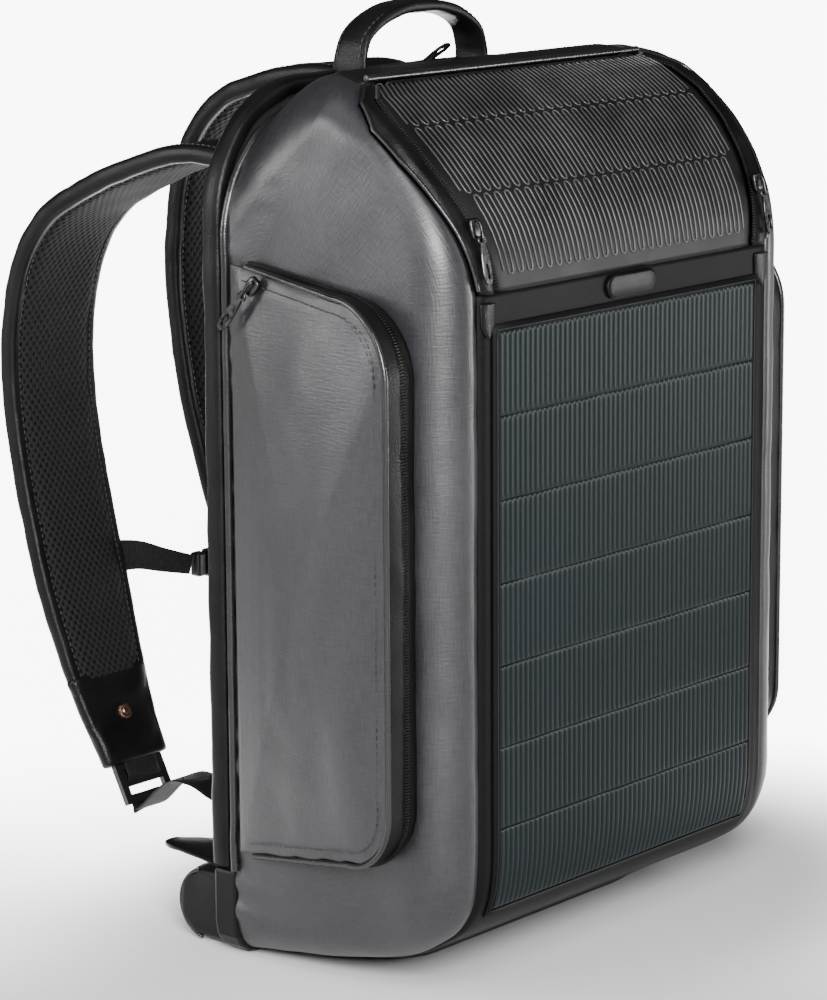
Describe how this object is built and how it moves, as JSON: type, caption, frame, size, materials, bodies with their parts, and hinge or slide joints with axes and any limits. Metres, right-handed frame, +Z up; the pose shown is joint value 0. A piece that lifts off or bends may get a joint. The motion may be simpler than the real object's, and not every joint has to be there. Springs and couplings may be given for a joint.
{
  "type": "solar backpack",
  "caption": "Upright clamshell backpack with a thin-film solar front, a zipped top flap, zipped side pockets, a carry handle and padded shoulder straps.",
  "frame": {"origin": "on the floor, on the bag's flat base, midway between the sides", "axes": "+Z up, -Y out of the solar front, +Y towards the wearer, +X to the wearer's right"},
  "size_m": [0.3494, 0.389, 0.5065],
  "materials": {
    "grey_fabric": "coated grey polyester",
    "black_fabric": "black coated polyester",
    "black_leatherette": "smooth black leatherette",
    "spacer_mesh": "black spacer mesh over foam",
    "webbing": "woven black webbing",
    "solar_cell": "dark teal thin-film cell",
    "clear_film": "satin clear film",
    "black_plastic": "moulded black plastic",
    "gunmetal": "dark plated metal",
    "grey_lining": "grey lining cloth"
  },
  "bodies": {
    "bag": {"anchor_wing_left": "black_leatherette", "anchor_wing_right": "black_leatherette", "base_panel": "black_fabric", "charge_regulator": "black_plastic", "compartment_divider": "grey_lining", "front_badge": "black_plastic", "front_panel": "black_fabric", "lower_back_panel": "black_leatherette", "lumbar_roll": "black_leatherette", "main_zip": "black_leatherette", "main_zip_slider": "gunmetal", "side_panel_left": "grey_fabric", "side_panel_right": "grey_fabric", "solar_backing": "black_fabric", "solar_cell_row_1": "solar_cell", "solar_cell_row_2": "solar_cell", "solar_cell_row_3": "solar_cell", "solar_cell_row_4": "solar_cell", "solar_cell_row_5": "solar_cell", "solar_cell_row_6": "solar_cell", "solar_cell_row_7": "solar_cell", "solar_clear_film": "clear_film", "top_gusset": "black_fabric", "usb_port": "black_plastic"},
    "back_panel": {"back_binding": "black_leatherette", "back_board": "black_fabric", "back_pad_left": "spacer_mesh", "back_pad_right": "spacer_mesh", "laptop_sleeve": "grey_lining", "strap_webbing_left": "webbing", "strap_webbing_right": "webbing"},
    "handle": {"carry_handle": "black_leatherette"},
    "shoulder_strap_left": {"chest_clip_plug": "black_plastic", "chest_webbing": "webbing", "ladder_lock_left": "black_plastic", "shoulder_strap_left": "black_fabric", "strap_patch_left": "black_leatherette"},
    "shoulder_strap_right": {"chest_clip_socket": "black_plastic", "ladder_lock_right": "black_plastic", "shoulder_strap_right": "black_fabric", "strap_patch_right": "black_leatherette"},
    "top_flap": {"flap_zip_left": "black_leatherette", "flap_zip_left_slider": "gunmetal", "flap_zip_right": "black_leatherette", "flap_zip_right_slider": "gunmetal", "top_flap": "black_fabric"},
    "flap_pull_left": {"flap_zip_left_pull": "gunmetal"},
    "flap_pull_right": {"flap_zip_right_pull": "gunmetal"},
    "main_zip_pull": {"main_zip_pull": "gunmetal"},
    "pocket_pull_left": {"pocket_left_pull": "gunmetal"},
    "side_pocket_left": {"pocket_left_slider": "gunmetal", "pocket_panel_left": "grey_fabric", "pocket_zip_left": "black_leatherette"},
    "side_pocket_right": {"pocket_panel_right": "grey_fabric", "pocket_right_slider": "gunmetal", "pocket_zip_right": "black_leatherette"},
    "pocket_pull_right": {"pocket_right_pull": "gunmetal"}
  },
  "joints": [
    {"name": "flap_opening", "type": "hinge", "parent": "bag", "child": "top_flap", "pos_m": [0, -0.082, 0.372], "axis": [1, 0, 0], "range_deg": [0, 100]},
    {"name": "back_opening", "type": "hinge", "parent": "bag", "child": "back_panel", "pos_m": [0, 0.084, 0.05], "axis": [-1, 0, 0], "range_deg": [0, 17]},
    {"name": "handle_tilt", "type": "hinge", "parent": "bag", "child": "handle", "pos_m": [0, 0.0665, 0.4785], "axis": [1, 0, 0], "range_deg": [-20, 20]},
    {"name": "main_pull_swing", "type": "hinge", "parent": "bag", "child": "main_zip_pull", "pos_m": [0.00864, 0.068, 0.46974], "axis": [0, -1, 0], "range_deg": [0, 110]},
    {"name": "pocket_left_opening", "type": "hinge", "parent": "bag", "child": "side_pocket_left", "pos_m": [-0.151, 0.06, 0.21], "axis": [0, 0, -1], "range_deg": [0, 35]},
    {"name": "flap_pull_left_swing", "type": "hinge", "parent": "top_flap", "child": "flap_pull_left", "pos_m": [-0.1215, -0.0825, 0.39975], "axis": [-1, 0, 0], "range_deg": [0, 120]},
    {"name": "pocket_pull_left_swing", "type": "hinge", "parent": "side_pocket_left", "child": "pocket_pull_left", "pos_m": [-0.1643, 0.04226, 0.36523], "axis": [0, 0.7557, 0.6549], "range_deg": [0, 120]},
    {"name": "strap_left_swing", "type": "hinge", "parent": "back_panel", "child": "shoulder_strap_left", "pos_m": [-0.06, 0.093, 0.41], "axis": [1, 0, 0], "range_deg": [0, 25]},
    {"name": "pocket_right_opening", "type": "hinge", "parent": "bag", "child": "side_pocket_right", "pos_m": [0.151, 0.06, 0.21], "axis": [0, 0, 1], "range_deg": [0, 35]},
    {"name": "flap_pull_right_swing", "type": "hinge", "parent": "top_flap", "child": "flap_pull_right", "pos_m": [0.1215, -0.0825, 0.39975], "axis": [-1, 0, 0], "range_deg": [0, 120]},
    {"name": "pocket_pull_right_swing", "type": "hinge", "parent": "side_pocket_right", "child": "pocket_pull_right", "pos_m": [0.1643, 0.04226, 0.36523], "axis": [0, -0.7557, -0.6549], "range_deg": [0, 120]},
    {"name": "strap_right_swing", "type": "hinge", "parent": "back_panel", "child": "shoulder_strap_right", "pos_m": [0.06, 0.093, 0.41], "axis": [1, 0, 0], "range_deg": [0, 25]}
  ],
  "couplings": [
    {"joint": "strap_right_swing", "follows": "strap_left_swing", "ratio": 1}
  ]
}
